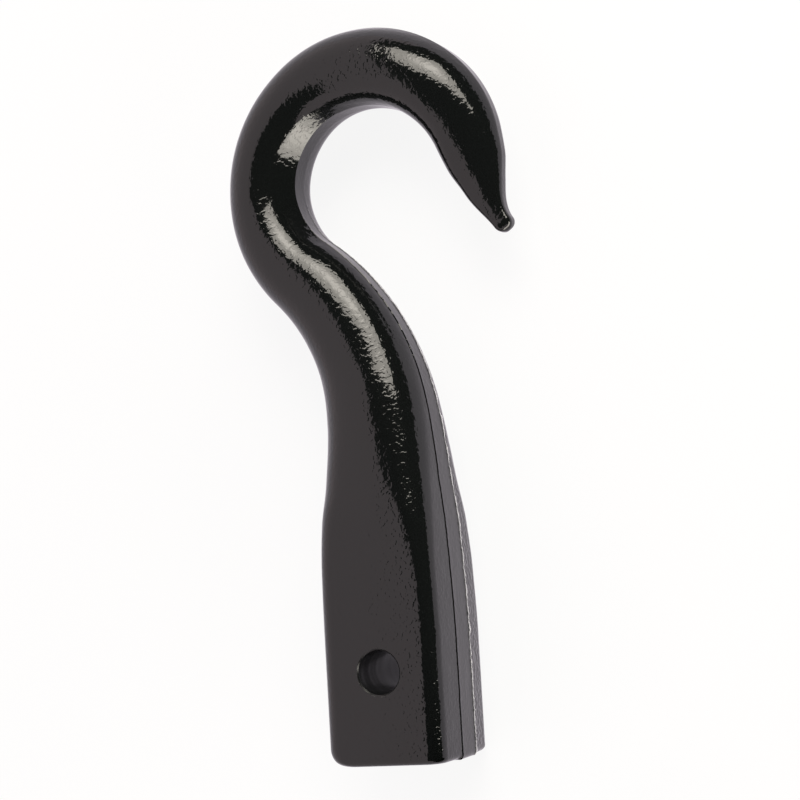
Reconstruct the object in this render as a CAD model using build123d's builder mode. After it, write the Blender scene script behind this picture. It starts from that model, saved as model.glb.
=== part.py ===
from build123d import *
import os
from math import cos, pi, radians, sin, tan

os.makedirs("parts", exist_ok=True)

# Recovery tow hook, drop forged in one piece, for a receiver tube of 2 inches.
# It lies flat with Z up and Y towards the hook. The origin is on the axis of
# the pin hole, on the parting plane where the two forging dies met.

# square shank
shank_width = 50.8
shank_thickness = 50.8
shank_corner = 6.4
shank_plan_corner = 7.0
shank_end_round = 2.5
shank_land = 14.4
even_shank = 48.0
pin_hole_diameter = 17.4
pin_hole_setback = 36.8
pin_hole_bevel = 0.5

# round body of the hook and its point
hook_width = 30.0
hook_thickness = 36.0
hook_land = 8.6
point_width = 23.4
point_thickness = 16.4
nose_width = 7.8
nose_thickness = 7.6

# slope that lets the forging leave its dies, in degrees
shank_draft = 3.4
hook_draft = 5.0

# middle line of the forging, seen from above: a straight shank, two gentle
# bends to the left through the neck, two tight ones to the right round the
# bowl, the straight point, and its lip turned outwards
straight_length = 101.0
shoulder_radius = 285.0
shoulder_turn = 7.6
neck_radius = 96.0
neck_turn = 39.6
bowl_radius = 47.8
bowl_turn = 101.8
crown_radius = 44.3
crown_turn = 110.0
point_length = 22.0
lip_radius = 51.0
lip_turn = 19.1

shoulder_end = straight_length + shoulder_radius * radians(shoulder_turn)
neck_length = neck_radius * radians(neck_turn)
neck_end = shoulder_end + neck_length
bowl_length = bowl_radius * radians(bowl_turn)
bowl_end = neck_end + bowl_length
crown_length = crown_radius * radians(crown_turn)
crown_end = bowl_end + crown_length
lip_end = crown_end + point_length + lip_radius * radians(lip_turn)
nose_round = nose_width / 2

with BuildLine() as spine:
    shank_line = Line((0, -pin_hole_setback), (0, straight_length - pin_hole_setback))
    shoulder = JernArc(shank_line @ 1, shank_line % 1, shoulder_radius, shoulder_turn)
    neck = JernArc(shoulder @ 1, shoulder % 1, neck_radius, neck_turn)
    bowl = JernArc(neck @ 1, neck % 1, bowl_radius, -bowl_turn)
    crown = JernArc(bowl @ 1, bowl % 1, crown_radius, -crown_turn)
    point = Line(crown @ 1, crown @ 1 + (crown % 1) * point_length)
    lip = JernArc(point @ 1, point % 1, lip_radius, lip_turn)
    Line(lip @ 1, lip @ 1 + (lip % 1) * nose_round)

path = spine.wire()


def plane_at(distance):
    """Plane square to the middle line at a distance from the shank's end."""
    along = path.tangent_at(distance, position_mode=PositionMode.LENGTH)
    middle = path.position_at(distance, position_mode=PositionMode.LENGTH)
    return Plane(middle, x_dir=Vector(0, 0, 1).cross(along), z_dir=along)


def forged_outline(width, thickness, corner, land, draft):
    """Section of the forging: trimmed land, sloping flanks, round corners."""
    side = width / 2
    face = thickness / 2
    edge = land / 2
    top = side - (face - edge) * tan(radians(draft))
    FilletPolyline(
        (side, -edge),
        (side, edge),
        (top, face),
        (-top, face),
        (-side, edge),
        (-side, -edge),
        (-top, -face),
        (top, -face),
        radius=[0, 0, corner, corner, 0, 0, corner, corner],
        close=True,
    )


def between(share, start, end):
    """Size a given share of the way from the shank's to the hook's."""
    return start + share * (end - start)


def neck_station(distance, narrowed, thinned, corner, sloped):
    return (
        distance,
        between(narrowed, shank_width, hook_width),
        between(thinned, shank_thickness, hook_thickness),
        corner,
        between(thinned, shank_land, hook_land),
        between(sloped, shank_draft, hook_draft),
    )


def hook_station(distance, width, thickness, corner, land):
    return (
        distance,
        width * hook_width,
        thickness * hook_thickness,
        corner * hook_thickness,
        land * hook_land,
        hook_draft,
    )


# stations along the forging: distance, width, thickness, corner radius, land
# height and draft
stations = [
    neck_station(even_shank, 0, 0, shank_corner, 0),
    neck_station(even_shank + 0.5 * (straight_length - even_shank), 0.07, 0, shank_corner, 0),
    neck_station(straight_length - 7, 0.15, 0.02, shank_corner + 1.5, 0),
    neck_station(straight_length + 11, 0.27, 0.26, shank_corner + 5.5, 0.1),
    neck_station(shoulder_end, 0.39, 0.63, shank_corner + 8.6, 0.5),
    neck_station(shoulder_end + 0.4 * neck_length, 0.61, 0.9, shank_corner + 7.6, 1),
    neck_station(shoulder_end + 0.8 * neck_length, 0.83, 0.93, shank_corner + 7, 1),
    hook_station(neck_end + 0.18 * bowl_length, 1.013, 1.045, 0.37, 1.03),
    hook_station(neck_end + 0.54 * bowl_length, 0.957, 1.03, 0.37, 0.97),
    hook_station(bowl_end - 0.07 * bowl_length, 0.99, 0.985, 0.37, 0.94),
    hook_station(bowl_end + 0.32 * crown_length, 1.043, 0.95, 0.36, 0.98),
    hook_station(bowl_end + 0.66 * crown_length, 1.007, 0.885, 0.34, 1.0),
    hook_station(bowl_end + 0.93 * crown_length, 0.91, 0.67, 0.25, 0.56),
    (
        crown_end + 0.5 * point_length,
        point_width,
        point_thickness,
        0.4 * point_thickness,
        0.24 * point_thickness,
        hook_draft,
    ),
    (
        crown_end + point_length,
        between(0.42, point_width, nose_width),
        between(0.62, point_thickness, nose_thickness),
        0.4 * nose_thickness,
        0.38 * nose_thickness,
        hook_draft,
    ),
]

# rounded nose: its width and thickness close in on a quarter circle
for step in range(4):
    turn = step * pi / 9
    stations.append(
        (
            lip_end + nose_round * sin(turn),
            nose_width * cos(turn),
            nose_thickness * cos(turn),
            0.3 * nose_width * cos(turn),
            0.34 * nose_thickness * cos(turn),
            hook_draft,
        )
    )


def steepness(before, here, after, column):
    """Slope of one size at a station, level where the size turns back."""
    back = (here[column] - before[column]) / (here[0] - before[0])
    ahead = (after[column] - here[column]) / (after[0] - here[0])
    if back * ahead <= 0:
        return 0
    return 2 * back * ahead / (back + ahead)


def sizes_between(index, share):
    """Sizes a share of the way from a station to the next, with no overshoot."""
    here, after = stations[index], stations[index + 1]
    before, beyond = stations[max(index - 1, 0)], stations[index + 2]
    gap = after[0] - here[0]
    sizes = [here[0] + share * gap]
    for column in range(1, 6):
        start = steepness(before, here, after, column) if index else 0
        end = steepness(here, after, beyond, column)
        rise = after[column] - here[column]
        sizes.append(
            here[column]
            + start * gap * share * (1 - share) ** 2
            + rise * share**2 * (3 - 2 * share)
            - end * gap * share**2 * (1 - share)
        )
    return sizes


# three sections to each gap between stations, and the nose's own four
sections = []
for index in range(len(stations) - 4):
    for share in (0, 1 / 3, 2 / 3):
        sections.append(sizes_between(index, share))
sections += stations[-4:]

with BuildPart() as tow_hook:
    # the even length of the shank, with its end rounded in plan and then all round
    with BuildSketch(plane_at(0)):
        with BuildLine():
            forged_outline(
                shank_width, shank_thickness, shank_corner, shank_land, shank_draft
            )
        make_face()
    extrude(amount=even_shank)
    with BuildSketch(Plane.XY):
        with Locations((0, even_shank - pin_hole_setback)):
            RectangleRounded(shank_width, 2 * even_shank, shank_plan_corner)
    extrude(amount=shank_thickness, both=True, mode=Mode.INTERSECT)
    end_face = tow_hook.faces().sort_by(Axis.Y)[0]
    fillet(end_face.edges(), radius=shank_end_round)

    # the neck, bowl, crown and point, through the stations
    for distance, width, thickness, corner, land, draft in sections:
        with BuildSketch(plane_at(distance)):
            with BuildLine():
                forged_outline(width, thickness, corner, land, draft)
            make_face()
    loft()

    # cross hole for the hitch pin
    with Locations((0, 0, 0)):
        Hole(radius=pin_hole_diameter / 2)
    rims = tow_hook.edges().filter_by(GeomType.CIRCLE).filter_by(
        lambda edge: abs(edge.radius - pin_hole_diameter / 2) < 0.01
    )
    chamfer(rims, length=pin_hole_bevel)

tow_hook.part.label = "tow_hook"
export_step(tow_hook.part, "parts/tow_hook.step")
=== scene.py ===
# Recovery tow hook, drop forged and painted gloss black, lying on a pale table
import math

import bmesh
import bpy
from mathutils import Matrix, Vector, noise


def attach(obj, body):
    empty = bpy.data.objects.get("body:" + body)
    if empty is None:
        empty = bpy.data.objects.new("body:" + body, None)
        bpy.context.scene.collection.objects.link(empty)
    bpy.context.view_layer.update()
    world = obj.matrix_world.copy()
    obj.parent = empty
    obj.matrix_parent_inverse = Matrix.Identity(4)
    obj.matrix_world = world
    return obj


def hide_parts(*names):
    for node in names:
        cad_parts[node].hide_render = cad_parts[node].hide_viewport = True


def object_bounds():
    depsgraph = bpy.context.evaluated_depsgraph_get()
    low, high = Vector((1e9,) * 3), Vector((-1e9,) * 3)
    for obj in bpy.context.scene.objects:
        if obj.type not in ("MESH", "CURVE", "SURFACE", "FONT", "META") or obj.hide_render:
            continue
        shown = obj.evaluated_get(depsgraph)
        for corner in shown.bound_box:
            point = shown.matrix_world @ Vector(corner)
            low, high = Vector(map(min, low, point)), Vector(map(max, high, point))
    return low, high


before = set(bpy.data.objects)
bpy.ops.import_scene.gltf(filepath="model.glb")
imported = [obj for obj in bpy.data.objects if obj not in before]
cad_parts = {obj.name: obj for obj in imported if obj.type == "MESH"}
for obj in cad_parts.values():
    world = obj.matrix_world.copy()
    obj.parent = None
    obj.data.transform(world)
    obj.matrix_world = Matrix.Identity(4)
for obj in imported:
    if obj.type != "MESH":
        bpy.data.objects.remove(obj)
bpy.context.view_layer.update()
print("frame loaded")


def linear(hexColour):
    # sRGB hex to the linear values that Blender wants
    values = [int(hexColour[i:i + 2], 16) / 255 for i in (1, 3, 5)]
    values = [v / 12.92 if v <= 0.04045 else ((v + 0.055) / 1.055) ** 2.4 for v in values]
    return (*values, 1)


def addNode(tree, kind, settings=None, inputs=(), **named):
    # settings are the node's own; its inputs take sockets or values, by place or by name
    node = tree.nodes.new(kind)
    for name, value in (settings or {}).items():
        setattr(node, name, value)
    given = [(node.inputs[i], value) for i, value in enumerate(inputs)]
    given += [(node.inputs[name.replace("_", " ")], value) for name, value in named.items()]
    for socket, value in given:
        if isinstance(value, bpy.types.NodeSocket):
            tree.links.new(value, socket)
        else:
            socket.default_value = value
    return node


def combine(tree, operation, *values):
    return addNode(tree, "ShaderNodeMath", {"operation": operation}, values).outputs[0]


def distanceFrom(tree, place):
    length = addNode(tree, "ShaderNodeVectorMath", {"operation": "LENGTH"}, (place,))
    return length.outputs["Value"]


def blend(tree, share, first, second):
    # share is how far the colour goes from the first to the second
    node = addNode(tree, "ShaderNodeMix", {"data_type": "RGBA"}, Factor=share)
    node.inputs[6].default_value = linear(first)
    node.inputs[7].default_value = linear(second)
    return node.outputs[2]


def emptyMaterial(name):
    material = bpy.data.materials.new(name)
    material.use_nodes = True
    material.node_tree.nodes.clear()
    return material


def objectFrom(bm, name):
    mesh = bpy.data.meshes.new(name)
    bm.to_mesh(mesh)
    bm.free()
    made = bpy.data.objects.new(name, mesh)
    bpy.context.scene.collection.objects.link(made)
    return made


# gloss enamel over a shot-blasted forging: dark, mirror-like, faintly pebbled
blackEnamel = {
    "colour": "#0f1111",
    "roughness": 0.07,
    "ior": 1.5,
    "pebbleMm": 1.7,      # size of one pebble of the forged texture
    "pebbleDepthMm": 0.026,
    "pebbleEdges": (0.44, 0.66),   # heights of the noise where a pebble starts and levels out
    "coarser": 5.0,       # how much deeper they are beside the burr
    "waveMm": 9,          # slow unevenness left by the dies
    "waveDepthMm": 0.14,
    "burrHighlightColour": "#dcdce6",       # painted highlight along the burr's edge, as a lighter colour
    "burrHighlightRoughness": 0.45,
    "boreMm": 9.3,        # inside this radius lies the drilled wall of the pin hole
    "boreRoughness": 0.3,
}

enamelMaterial = emptyMaterial("glossBlackEnamel")
enamelTree = enamelMaterial.node_tree
onHook = addNode(enamelTree, "ShaderNodeTexCoord").outputs["Object"]
pebbles = addNode(enamelTree, "ShaderNodeTexNoise", Vector=onHook,
                  Scale=1000 / blackEnamel["pebbleMm"], Detail=1.0, Roughness=0.5)
dimples = addNode(enamelTree, "ShaderNodeMapRange", {"interpolation_type": "SMOOTHSTEP"},
                  Value=pebbles.outputs["Fac"], From_Min=blackEnamel["pebbleEdges"][0],
                  From_Max=blackEnamel["pebbleEdges"][1]).outputs["Result"]
# the drilled wall is rougher and has no pebbles
seenFromAbove = addNode(enamelTree, "ShaderNodeVectorMath", {"operation": "MULTIPLY"},
                        (onHook, (1, 1, 0))).outputs[0]
inBore = combine(enamelTree, "LESS_THAN", distanceFrom(enamelTree, seenFromAbove),
                 blackEnamel["boreMm"] / 1000)
# both come with the mesh: where the pebbles are coarser and where the burr's painted highlight lies
coarsePaint = addNode(enamelTree, "ShaderNodeAttribute",
                      {"attribute_name": "coarse"}).outputs["Fac"]
paintedBurrHighlight = addNode(enamelTree, "ShaderNodeAttribute", {"attribute_name": "burrHighlight"}).outputs["Fac"]
depth = combine(enamelTree, "MULTIPLY", dimples, combine(
    enamelTree, "MULTIPLY_ADD", coarsePaint, blackEnamel["coarser"] - 1, 1.0))
depth = combine(enamelTree, "MULTIPLY", depth, combine(
    enamelTree, "MULTIPLY_ADD", inBore, -1.0, 1.0))
waves = addNode(enamelTree, "ShaderNodeTexNoise", Vector=onHook,
                Scale=1000 / blackEnamel["waveMm"], Detail=1.0)
waveBump = addNode(enamelTree, "ShaderNodeBump", Height=waves.outputs["Fac"],
                   Distance=blackEnamel["waveDepthMm"] / 1000, Strength=1.0)
pebbleBump = addNode(enamelTree, "ShaderNodeBump", Height=depth,
                     Distance=blackEnamel["pebbleDepthMm"] / 1000, Strength=1.0,
                     Normal=waveBump.outputs["Normal"])
# the lighter, rougher colour along the burr is a painted highlight
colour = blend(enamelTree, paintedBurrHighlight, blackEnamel["colour"], blackEnamel["burrHighlightColour"])
roughness = combine(enamelTree, "MULTIPLY_ADD", inBore,
                    blackEnamel["boreRoughness"] - blackEnamel["roughness"],
                    blackEnamel["roughness"])
roughness = combine(enamelTree, "MULTIPLY_ADD", paintedBurrHighlight,
                    blackEnamel["burrHighlightRoughness"] - blackEnamel["roughness"], roughness)
enamel = addNode(enamelTree, "ShaderNodeBsdfPrincipled", Base_Color=colour, Roughness=roughness,
                 IOR=blackEnamel["ior"], Normal=pebbleBump.outputs["Normal"])
addNode(enamelTree, "ShaderNodeOutputMaterial", Surface=enamel.outputs["BSDF"])


def bend(radius, turned):
    # length and turn to the left, in degrees, of a leg of the middle line
    return radius * math.radians(abs(turned)), turned


# the forging's form in mm, as in the part's source: the middle line seen from above
# and, at stations along it, the section's sizes
middleLine = {
    "start": (0.0, -36.8),
    "legs": [
        (101.0, 0.0),        # straight shank
        bend(285.0, 7.6),    # shoulder and neck
        bend(96.0, 39.6),
        bend(47.8, -101.8),  # bowl and crown
        bend(44.3, -110.0),
        (22.0, 0.0),         # point, its lip and the rounded nose
        bend(51.0, 19.1),
        (3.9, 0.0),
    ],
}
legEnds = [sum(leg[0] for leg in middleLine["legs"][:i + 1]) for i in range(8)]
straightEnd, shoulderEnd, neckEnd, bowlEnd, crownEnd, pointEnd, lipEnd, noseEnd = legEnds
neckLength, bowlLength, crownLength = neckEnd - shoulderEnd, bowlEnd - neckEnd, crownEnd - bowlEnd

forging = {
    "shank": (50.8, 50.8, 6.4, 14.4, 3.4),     # width, thickness, corner, land, draft
    "hook": (30.0, 36.0, 13.3, 8.6, 5.0),
    "planCorner": 7.0,        # of the shank's end, seen from above
    "rightPlanCorner": 2.2,
    "landCorner": 1.6,        # the same on the trimmed land
    "endRound": 2.5,
    "endSlant": 1.1,          # by which the end is out of square, shorter on the right
    "slantReach": 30,
    "spur": 0.5,              # flash left on the land at the right corner
    "spurReach": 1.5,
    "trimStep": 0.3,          # by which the trimmed land stands proud of the flanks
    "burr": 0.45,             # left by the trimming die along the land's back edge
    "burrEnds": (185, 245),   # where along the middle line both start to fade and are gone
    "raggedMm": (4.5, 1.1),   # length of the slow and the quick unevenness of the trimming
    "nickPlace": 221.0,       # small tear in the trimming, on the bowl's inner side
    "nickDepth": 0.6,
    "nickLength": 1.1,
    "cornerPebbles": 0.07,    # how far they are towards those beside the burr
    "ringSpacing": 0.8,
    "endRings": 12,           # closer together where the shank's end and the nose round off
    "sharpEdge": math.radians(24),
}

# points of a quarter of the section, numbered from the middle of the land to the crest
numbers = {
    "land": range(8),         # with its lip, 4 to 7
    "burrHighlight": (5, 6),
    "nick": {5: 0.5, 6: 1, 7: 1, 8: 0.6},      # share of its depth
    "frontCorner": range(9, 26),
    "coarse": (4, 16, 5),     # first, where they end, and over how many they fade
}
lastFrontSpoke = 62           # spokes go round the section: 0 to 62 front, 63 to 123 back
spurSpokes = range(55, 68)


def onMiddleLine(distance):
    # point and heading at a distance from the shank's end
    x, y = middleLine["start"]
    heading = math.pi / 2
    for length, turned in middleLine["legs"]:
        step = min(distance, length)
        if turned:
            curve = math.radians(turned) / length
            x += (math.sin(heading + step * curve) - math.sin(heading)) / curve
            y -= (math.cos(heading + step * curve) - math.cos(heading)) / curve
            heading += step * curve
        else:
            x += step * math.cos(heading)
            y += step * math.sin(heading)
        distance -= step
        if distance <= 0:
            break
    return x, y, heading


def neckSizes(narrowed, thinned, corner, sloped):
    # how far each size has gone from the shank's to the hook's
    width, thickness, land, draft = (
        forging["shank"][i] + share * (forging["hook"][i] - forging["shank"][i])
        for i, share in ((0, narrowed), (1, thinned), (3, thinned), (4, sloped)))
    return width, thickness, corner, land, draft


def hookSizes(width, thickness, corner, land):
    # shares of the hook's own sizes, and of its thickness for the corner
    body = forging["hook"]
    return width * body[0], thickness * body[1], corner * body[1], land * body[3], body[4]


# each station: distance; width, thickness, corner radius, land height, draft; then
# the land's height above mid thickness, the front's left and right slopes, its
# right corner radius, its crown as a curvature per metre, its crest's distance to
# the left of the middle, and how far the left and right sides swell
stations = [
    (0.0, neckSizes(0, 0, 6.4, 0),
     -1.2, 3.4, 3.4, 6.4, 1, 0, 0, 0),
    (48.0, neckSizes(0, 0, 6.4, 0),
     -1.2, 3.4, 3.4, 6.4, 1, 0, 0, 0),
    (74.5, neckSizes(0.07, 0, 6.6, 0),
     -1.2, 3.4, 3.4, 6.6, 2, 0, 0.6, 0),
    (straightEnd - 7, neckSizes(0.15, 0.03, 8.6, 0),
     -1.2, 3.4, 3.4, 9.4, 3.5, 0, 1.0, -0.2),
    (straightEnd + 11, neckSizes(0.27, 0.23, 11.9, 0.1),
     -1.2, 3.4, 4, 12.5, 12, 0, 1.0, -0.7),
    (shoulderEnd, neckSizes(0.39, 0.54, 14.5, 0.5),
     -1.0, 5, 5, 15.5, 24, 0.5, -0.1, -0.4),
    (shoulderEnd + 0.4 * neckLength, neckSizes(0.61, 0.85, 14.0, 1),
     -0.8, 5, 6, 16.5, 31, 1.5, -0.2, 0.6),
    (shoulderEnd + 0.8 * neckLength, neckSizes(0.83, 0.93, 13.4, 1),
     0.4, 5, 14, 16, 30, 2, 0, 1.1),
    (neckEnd + 0.18 * bowlLength, hookSizes(1.013, 1.045, 0.37, 1.03),
     1.6, 5, 30, 14, 24, 1.5, 0, 0.4),
    (neckEnd + 0.54 * bowlLength, hookSizes(0.957, 1.03, 0.37, 0.97),
     2.4, 5, 38, 14, 17, 0.5, -0.2, 0),
    (bowlEnd - 0.07 * bowlLength, hookSizes(0.99, 0.985, 0.37, 0.94),
     2.0, 8, 34, 14, 15, 0, -0.3, 0),
    (bowlEnd + 0.32 * crownLength, hookSizes(1.043, 0.945, 0.4, 0.98),
     0.4, 18, 12, 12, 18, -1, 0, 0),
    (bowlEnd + 0.66 * crownLength, hookSizes(1.007, 0.855, 0.5, 1.0),
     0, 24, 6, 10, 24, -3, 0, 0),
    (bowlEnd + 0.93 * crownLength, hookSizes(0.91, 0.67, 0.4, 0.56),
     0, 20, 5, 8, 32, -3, 0.2, 0),
    (crownEnd + 11, (23.4, 16.4, 7.5, 3.94, 5.0),
     0, 14, 5, 5.5, 34, -1.5, 0.2, 0),
    (pointEnd, (16.85, 10.94, 3.5, 2.89, 5.0),
     0, 8, 5, 3, 36, 0, 0, 0),
    (lipEnd, (7.8, 7.6, 1.9, 2.58, 5.0),
     0, 5, 5, 1.9, 16, 0, 0, 0),
]
stations = [(distance, *sizes, *front) for distance, sizes, *front in stations]


def steepness(before, here, after, column):
    back = (here[column] - before[column]) / (here[0] - before[0])
    ahead = (after[column] - here[column]) / (after[0] - here[0])
    return 0 if back * ahead <= 0 else 2 * back * ahead / (back + ahead)


def sizesAt(distance):
    # smooth between the stations, level where a size turns back
    distance = min(distance, lipEnd)
    i = max(k for k in range(len(stations) - 1) if stations[k][0] <= distance)
    here, after = stations[i], stations[i + 1]
    before, beyond = stations[max(i - 1, 0)], stations[min(i + 2, len(stations) - 1)]
    gap = after[0] - here[0]
    t = (distance - here[0]) / gap
    sizes = []
    for column in range(1, len(here)):
        start = steepness(before, here, after, column) if i else 0
        end = steepness(here, after, beyond, column) if beyond is not after else 0
        sizes.append(here[column] + start * gap * t * (1 - t) ** 2
                     + (after[column] - here[column]) * t * t * (3 - 2 * t)
                     - end * gap * t * t * (1 - t))
    return sizes


def ragged(distance, sideOfHook, size):
    # uneven trimming along the flash line, different on each side
    slowMm, quickMm = forging["raggedMm"]
    slow = noise.noise(Vector((distance / slowMm, sideOfHook * 7.3, 0)))
    quick = noise.noise(Vector((distance / quickMm, sideOfHook * 3.1, 5)))
    return size * (0.6 * slow + 0.5 * quick)


def quarter(side, face, edge, lift, corner, draft, crown, lip, torn):
    # a quarter of the section, from the land's middle to the face's crest: land,
    # its lip, flank, corner arc and the crowned half of the face
    top, slope = edge + lift + torn, math.radians(draft)
    flat = 1000 / crown
    corner = min(corner, 0.98 * (face - top) / (1 - math.sin(slope)), 0.92 * side)
    tilt = 0
    for attempt in range(6):
        # closes in on where the crown's slope meets the corner arc
        flank = (face - top - corner * (math.cos(tilt) - math.sin(slope))
                 - flat * (1 - math.cos(tilt))) / math.cos(slope)
        flank = max(flank, 0)
        rest = side - flank * math.sin(slope) - corner * math.cos(slope)
        tilt = math.asin(min(max(rest / (flat - corner), 0), 0.5))
    points = [(side, lift + (top - lift) * k / 4) for k in (0, 1, 2, 3)]
    points += [(side + 0.2 * lip, top - abs(lip)), (side + lip, top - 0.35 * abs(lip)),
               (side + lip * 0.9, top), (side, top + 0.35 * abs(lip))]
    points += [(side - flank * math.sin(slope) * k / 3, top + flank * math.cos(slope) * k / 3)
               for k in (0.2, 1, 2, 3)]
    x, z = points[-1]
    centre = (x - corner * math.cos(slope), z - corner * math.sin(slope))
    sweep = math.pi / 2 - tilt - slope
    for k in range(1, 15):
        angle = slope + sweep * k / 14
        points.append((centre[0] + corner * math.cos(angle), centre[1] + corner * math.sin(angle)))
    z = points[-1][1]
    points += [(flat * math.sin(tilt * k / 6), z + flat * (math.cos(tilt * k / 6) - math.cos(tilt)))
               for k in (5, 4, 3, 2, 1)]
    crest = z + flat * (1 - math.cos(tilt))
    return points, crest


def roundedBy(radius, distance):
    # inset of a rounding at the shank's end
    return radius - math.sqrt(max(0, radius * radius - max(0, radius - distance) ** 2))


def burrAt(distance):
    # share of the burr and the trimmed step that is left at a distance
    fadeStart, fadeEnd = forging["burrEnds"]
    return min(max((fadeEnd - distance) / (fadeEnd - fadeStart), 0), 1)


def outlineAt(distance):
    # closed outline of the section: left front, right front, right back, left back
    (width, thickness, corner, land, draft, lift, leftSlope, rightSlope, rightCorner, crown,
     crest, leftSwell, rightSwell) = sizesAt(distance)
    leftSide = width / 2 + leftSwell - roundedBy(forging["planCorner"], distance)
    rightInset = roundedBy(forging["rightPlanCorner"], distance)
    rightSide = width / 2 + rightSwell - rightInset
    face = thickness / 2 - roundedBy(forging["endRound"], distance)
    if distance > lipEnd:
        share = math.sqrt(max(0, 1 - ((distance - lipEnd) / (noseEnd - lipEnd)) ** 2))
        leftSide, rightSide, face, land = (v * share for v in (leftSide, rightSide, face, land))
        corner, rightCorner, crown = corner * share, rightCorner * share, crown / share
    half = land / 2
    step, burr = forging["trimStep"] * burrAt(distance), forging["burr"] * burrAt(distance)
    left, leftCrest = quarter(leftSide - crest, face, half, lift, corner, leftSlope, crown,
                              1.1 * step, ragged(distance, 1, 1.5 * step))
    right, rightCrest = quarter(rightSide + crest, face, half, lift, rightCorner, rightSlope,
                                crown, 1.1 * step, ragged(distance, 2, 1.5 * step))
    # the back has no crown to speak of, and the burr in place of the step
    (rightBack, backCrest), (leftBack, _) = (
        quarter(side, face, half, -lift, corner, draft, 1,
                burr + ragged(distance, seed, 1.2 * burr), ragged(distance, seed, 1.8 * burr))
        for seed, side in ((3, rightSide), (4, leftSide)))
    squarer = rightInset - roundedBy(forging["landCorner"], distance)
    for number in numbers["land"]:
        right[number] = (right[number][0] + squarer, right[number][1])
        rightBack[number] = (rightBack[number][0] + squarer, rightBack[number][1])
    nick = forging["nickDepth"] * math.exp(
        -((distance - forging["nickPlace"]) / forging["nickLength"]) ** 2)
    for number, share in numbers["nick"].items():
        x, z = right[number]
        right[number] = (x - 0.3 * nick * share, z - nick * share)
    outline = [(x + crest, z * face / leftCrest) for x, z in left] + [(crest, face)]
    outline += [(crest - x, z * face / rightCrest) for x, z in right[::-1]]
    outline += [(-x, -z) for x, z in rightBack[1:]] + [(0, -backCrest)]
    outline += [(x, -z) for x, z in leftBack[:0:-1]]
    return outline


def ringPlaces():
    evenStart, rings = forging["planCorner"], forging["endRings"]
    quarterTurn = math.pi / 2 / rings
    places = [evenStart * (1 - math.cos(k * quarterTurn)) for k in range(rings)]
    count = round((lipEnd - evenStart) / forging["ringSpacing"])
    places += [evenStart + (lipEnd - evenStart) * k / count for k in range(count)]
    places += [lipEnd + (noseEnd - lipEnd) * math.sin(k * quarterTurn) for k in range(rings)]
    return places


def placeRing(ring, distance, layers):
    spoke, burrHighlight, coarse = layers
    x, y, heading = onMiddleLine(distance)
    outline = outlineAt(distance)
    slant = forging["endSlant"] * max(0, 1 - distance / forging["slantReach"])
    spur = forging["spur"] * max(0, 1 - distance / forging["spurReach"])
    firstCoarse, coarseEnd, coarseFade = numbers["coarse"]
    for vertex in ring:
        across, up = outline[vertex[spoke]]
        along = slant * (0.5 - across / forging["shank"][0])
        if vertex[spoke] in spurSpokes:
            along -= spur
        vertex.co = Vector((x + math.cos(heading) * along - math.sin(heading) * across,
                            y + math.sin(heading) * along + math.cos(heading) * across,
                            up)) / 1000
        onFront = vertex[spoke] <= lastFrontSpoke
        number = vertex[spoke] if onFront else vertex[spoke] - lastFrontSpoke
        number = min(number, lastFrontSpoke - number)
        if onFront and number in numbers["frontCorner"]:
            vertex[coarse] = forging["cornerPebbles"]
        # the back's lip gets the burr's painted highlight, broken up along its length
        if not onFront and number in numbers["burrHighlight"]:
            highlightStrength = 0.92 + 0.9 * ragged(distance, across > 0, 1)
            vertex[burrHighlight] = burrAt(distance) * min(max(highlightStrength, 0), 1)
        if not onFront and number >= firstCoarse:
            near = min(max((coarseEnd - number) / coarseFade, 0), 1)
            vertex[coarse] = burrAt(distance) * near


bm = bmesh.new()
layers = (bm.verts.layers.int.new("spoke"), bm.verts.layers.float.new("burrHighlight"),
          bm.verts.layers.float.new("coarse"))
bmesh.ops.create_circle(bm, segments=len(outlineAt(straightEnd)), radius=0.02)
ring, ringEdges = list(bm.verts), list(bm.edges)
for index, vertex in enumerate(ring):
    vertex[layers[0]] = index
places = ringPlaces()
placeRing(ring, places[0], layers)
endEdges = ringEdges
for distance in places[1:]:
    grown = bmesh.ops.extrude_edge_only(bm, edges=ringEdges)["geom"]
    ring = [item for item in grown if isinstance(item, bmesh.types.BMVert)]
    ringEdges = [item for item in grown if isinstance(item, bmesh.types.BMEdge)]
    placeRing(ring, distance, layers)
bmesh.ops.edgeloop_fill(bm, edges=endEdges)
bmesh.ops.edgeloop_fill(bm, edges=ringEdges)
bmesh.ops.recalc_face_normals(bm, faces=bm.faces)
for face in bm.faces:
    face.smooth = True
skin = objectFrom(bm, "forgedHook")
skin.data.materials.append(enamelMaterial)
print("forging skinned with", len(skin.data.polygons), "faces")

# pin hole, drilled through with a small bevel at each rim
pinHole = {
    "radius": 8.7,
    "bevel": 0.5,
    "face": 25.4,         # height of the face that the bevel starts from
    "beyond": 30,         # the drill reaches past both faces
    "ringMm": 2.4,        # from one ring left by the drill to the next
    "ringDepth": 0.03,
    "ringedLength": 48,
    "steps": 96,
}
radius, bevel, ringMm = pinHole["radius"], pinHole["bevel"], pinHole["ringMm"]
rim = [(radius, pinHole["face"] - bevel), (radius + bevel, pinHole["face"]),
       (radius + 5, pinHole["beyond"]), (0, pinHole["beyond"])]
profile = [(r, -z) for r, z in rim[::-1]]
for k in range(int(pinHole["ringedLength"] / ringMm)):
    uneven = 0.5 * noise.noise(Vector((k * 0.9, 7, 0)))
    height = (k + uneven) * ringMm - pinHole["ringedLength"] / 2
    deep = pinHole["ringDepth"] * (1 + 0.8 * noise.noise(Vector((k * 0.7, 0, 3))))
    profile += [(radius, height), (radius + deep, height + 0.75 * ringMm)]
profile += rim
bm = bmesh.new()
rail = [bm.verts.new((r / 1000, 0, z / 1000)) for r, z in profile]
edges = [bm.edges.new(pair) for pair in zip(rail, rail[1:])]
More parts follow.
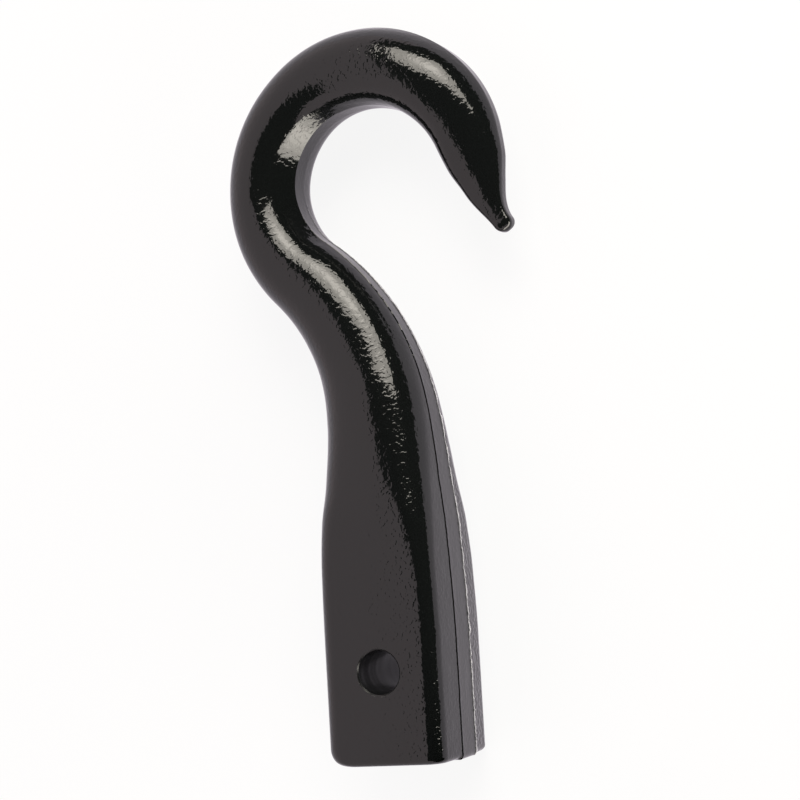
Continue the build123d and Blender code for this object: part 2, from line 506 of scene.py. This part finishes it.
bmesh.ops.spin(bm, geom=rail + edges, cent=(0, 0, 0), axis=(0, 0, 1), angle=2 * math.pi,
               steps=pinHole["steps"], use_merge=True)
bmesh.ops.remove_doubles(bm, verts=bm.verts, dist=1e-6)
bmesh.ops.recalc_face_normals(bm, faces=bm.faces)
for face in bm.faces:
    face.smooth = True
drill = objectFrom(bm, "pinDrill")

cut = skin.modifiers.new("pinHole", "BOOLEAN")
cut.object = drill
cut.solver = "EXACT"
bpy.context.view_layer.update()
evaluated = skin.evaluated_get(bpy.context.evaluated_depsgraph_get())
bored = bpy.data.meshes.new_from_object(evaluated)
skin.modifiers.clear()
skin.data = bored
bpy.data.objects.remove(drill)
bm = bmesh.new()
bm.from_mesh(bored)
for vertex in bm.verts:
    # the cut leaves stray values of both on the drilled wall
    if math.hypot(vertex.co.x, vertex.co.y) < blackEnamel["boreMm"] / 1000:
        for name in ("burrHighlight", "coarse"):
            vertex[bm.verts.layers.float[name]] = 0
for edge in bm.edges:
    edge.smooth = not (edge.is_manifold and edge.calc_face_angle() > forging["sharpEdge"])
bm.to_mesh(bored)
bm.free()
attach(skin, "root")
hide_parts("tow_hook")
print("pin hole drilled,", len(bored.polygons), "faces")

# table, and the white room with its dark side
studio = {
    "tableRadius": 12,
    "tableColour": "#ececec",
    "tableGlow": 0.88,        # how much of the table the camera sees as plain white
    "tableSheen": "#f1e9f3",  # and what the paint mirrors of it
    "roomColour": "#fff0f4",
    "darkSide": "#1a1f1d",
    "lampColour": "#fff9ee",
    "holeShade": 0.0275,      # distance from the origin that takes in the pin hole's foot
    "holeGlow": 0.4,
    "flagPlace": (0.052, -0.065, 0.038),
    "flagSize": 0.03,         # half its width; keeps the low softbox off the shank's end
    "centre": (0.0, 0.11, 0.0),
}


def skyPatch(name, radius, roll, rise, steps=24):
    # piece of a sphere round the hook: roll from straight up towards +X, rise towards +Y
    bm = bmesh.new()
    bm.loops.layers.uv.new("cloth")
    bmesh.ops.create_grid(bm, x_segments=steps, y_segments=steps, size=1, calc_uvs=True)
    for vertex in bm.verts:
        across = math.radians(roll[0] + (vertex.co.x + 1) / 2 * (roll[1] - roll[0]))
        up = math.radians(rise[0] + (vertex.co.y + 1) / 2 * (rise[1] - rise[0]))
        vertex.co = Vector(studio["centre"]) + radius * Vector(
            (math.sin(across) * math.cos(up), math.sin(up), math.cos(across) * math.cos(up)))
    patch = objectFrom(bm, name)
    patch.visible_camera = False
    return patch


def plainMaterial(name, colour, glow=0, sheen="#ffffff"):
    # glow is the share of plain white that the camera sees in it, and of sheen that
    # the paint mirrors; under the pin hole there is less
    material = emptyMaterial(name)
    tree = material.node_tree
    shader = addNode(tree, "ShaderNodeBsdfDiffuse", Color=linear(colour)).outputs["BSDF"]
    if glow:
        rays = addNode(tree, "ShaderNodeLightPath").outputs
        onTable = addNode(tree, "ShaderNodeTexCoord").outputs["Object"]
        clear = combine(tree, "GREATER_THAN", distanceFrom(tree, onTable), studio["holeShade"])
        seen = combine(tree, "MAXIMUM", rays["Is Camera Ray"], rays["Is Glossy Ray"])
        seen = combine(tree, "MAXIMUM", seen, rays["Is Transmission Ray"])
        lit = combine(tree, "MULTIPLY_ADD", clear, 1 - studio["holeGlow"], studio["holeGlow"])
        share = combine(tree, "MULTIPLY", combine(tree, "MULTIPLY", seen, glow), lit)
        tint = blend(tree, rays["Is Camera Ray"], sheen, "#ffffff")
        white = addNode(tree, "ShaderNodeEmission", Color=tint, Strength=1.0).outputs["Emission"]
        shader = addNode(tree, "ShaderNodeMixShader", None, (share, shader, white)).outputs["Shader"]
    addNode(tree, "ShaderNodeOutputMaterial", Surface=shader)
    return material


def lampMaterial(name, strength, edge):
    # cloth of a softbox, brightest in its middle; edge is the brightness at its rim
    material = emptyMaterial(name)
    tree = material.node_tree
    onCloth = addNode(tree, "ShaderNodeUVMap").outputs["UV"]
    spread = addNode(tree, "ShaderNodeMapping", Vector=onCloth, Location=(-1, -1, 0),
                     Scale=(2, 2, 0))
    glow = addNode(tree, "ShaderNodeTexGradient", {"gradient_type": "QUADRATIC_SPHERE"},
                   Vector=spread.outputs["Vector"])
    level = addNode(tree, "ShaderNodeMapRange", Value=glow.outputs["Fac"], From_Max=0.6,
                    To_Min=edge, To_Max=strength)
    shader = addNode(tree, "ShaderNodeEmission", Color=linear(studio["lampColour"]),
                     Strength=level.outputs["Result"])
    addNode(tree, "ShaderNodeOutputMaterial", Surface=shader.outputs["Emission"])
    return material


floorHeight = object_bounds()[0][2]
bm = bmesh.new()
bmesh.ops.create_circle(bm, cap_ends=True, segments=64, radius=studio["tableRadius"])
bmesh.ops.translate(bm, verts=bm.verts, vec=(0, 0, floorHeight))
table = objectFrom(bm, "table")
table.data.materials.append(plainMaterial("paleTable", studio["tableColour"],
                                          studio["tableGlow"], studio["tableSheen"]))

darkSide = skyPatch("darkSide", 1.7, (-15.5, 96), (-45, 80))
darkSide.data.materials.append(plainMaterial("darkCloth", studio["darkSide"]))

softboxes = {
    "highSoftbox": {"roll": (-8, 47), "rise": (26, 60), "strength": 12, "edge": 6},
    "lowSoftbox": {"roll": (57, 91), "rise": (-70, -17), "strength": 11.5, "edge": 7},
}
for name, box in softboxes.items():
    softbox = skyPatch(name, 1.5, box["roll"], box["rise"], steps=8)
    softbox.data.materials.append(lampMaterial(name + "Cloth", box["strength"], box["edge"]))

bm = bmesh.new()
bmesh.ops.create_grid(bm, x_segments=1, y_segments=1, size=studio["flagSize"])
bmesh.ops.rotate(bm, verts=bm.verts, matrix=Matrix.Rotation(math.radians(90), 3, "X"))
bmesh.ops.rotate(bm, verts=bm.verts, matrix=Matrix.Rotation(math.radians(45), 3, "Z"))
bmesh.ops.translate(bm, verts=bm.verts, vec=studio["flagPlace"])
flag = objectFrom(bm, "blackFlag")
flag.visible_camera = False
flag.data.materials.append(plainMaterial("blackFlagCloth", studio["darkSide"]))

# the camera sees the room as white, the paint mirrors its own tone
world = bpy.data.worlds.new("whiteRoom")
bpy.context.scene.world = world
world.use_nodes = True
roomTree = world.node_tree
roomTree.nodes.clear()
cameraRay = addNode(roomTree, "ShaderNodeLightPath").outputs["Is Camera Ray"]
room = addNode(roomTree, "ShaderNodeBackground", Strength=1.0,
               Color=blend(roomTree, cameraRay, studio["roomColour"], "#ffffff"))
addNode(roomTree, "ShaderNodeOutputWorld", Surface=room.outputs["Background"])
print("table and lights set")

# camera, worked out from the shank's own perspective
view = {
    "aim": (0.0049, 0.1064, 0.0),
    "distance": 0.802,
    "side": 23.14,    # degrees to the right of straight down
    "along": -3.51,
    "roll": -3.32,
    "lens": 90,
    "sensor": 36,
}
side, along, roll = (math.radians(view[k]) for k in ("side", "along", "roll"))
away = Vector((math.sin(side) * math.cos(along), math.sin(along), math.cos(side) * math.cos(along)))
across = Vector((0, 1, 0)).cross(away).normalized()
upward = away.cross(across)
cameraRight = math.cos(roll) * across + math.sin(roll) * upward
cameraUp = -math.sin(roll) * across + math.cos(roll) * upward
turn = Matrix((cameraRight, cameraUp, away)).transposed().to_4x4()

cameraData = bpy.data.cameras.new("photoCamera")
cameraData.lens = view["lens"]
cameraData.sensor_width = view["sensor"]
cameraData.clip_start = 0.01
camera = bpy.data.objects.new("photoCamera", cameraData)
camera.matrix_world = Matrix.Translation(Vector(view["aim"]) + view["distance"] * away) @ turn
bpy.context.scene.collection.objects.link(camera)
bpy.context.scene.camera = camera
bpy.context.scene.view_settings.view_transform = "Standard"
print("camera set")
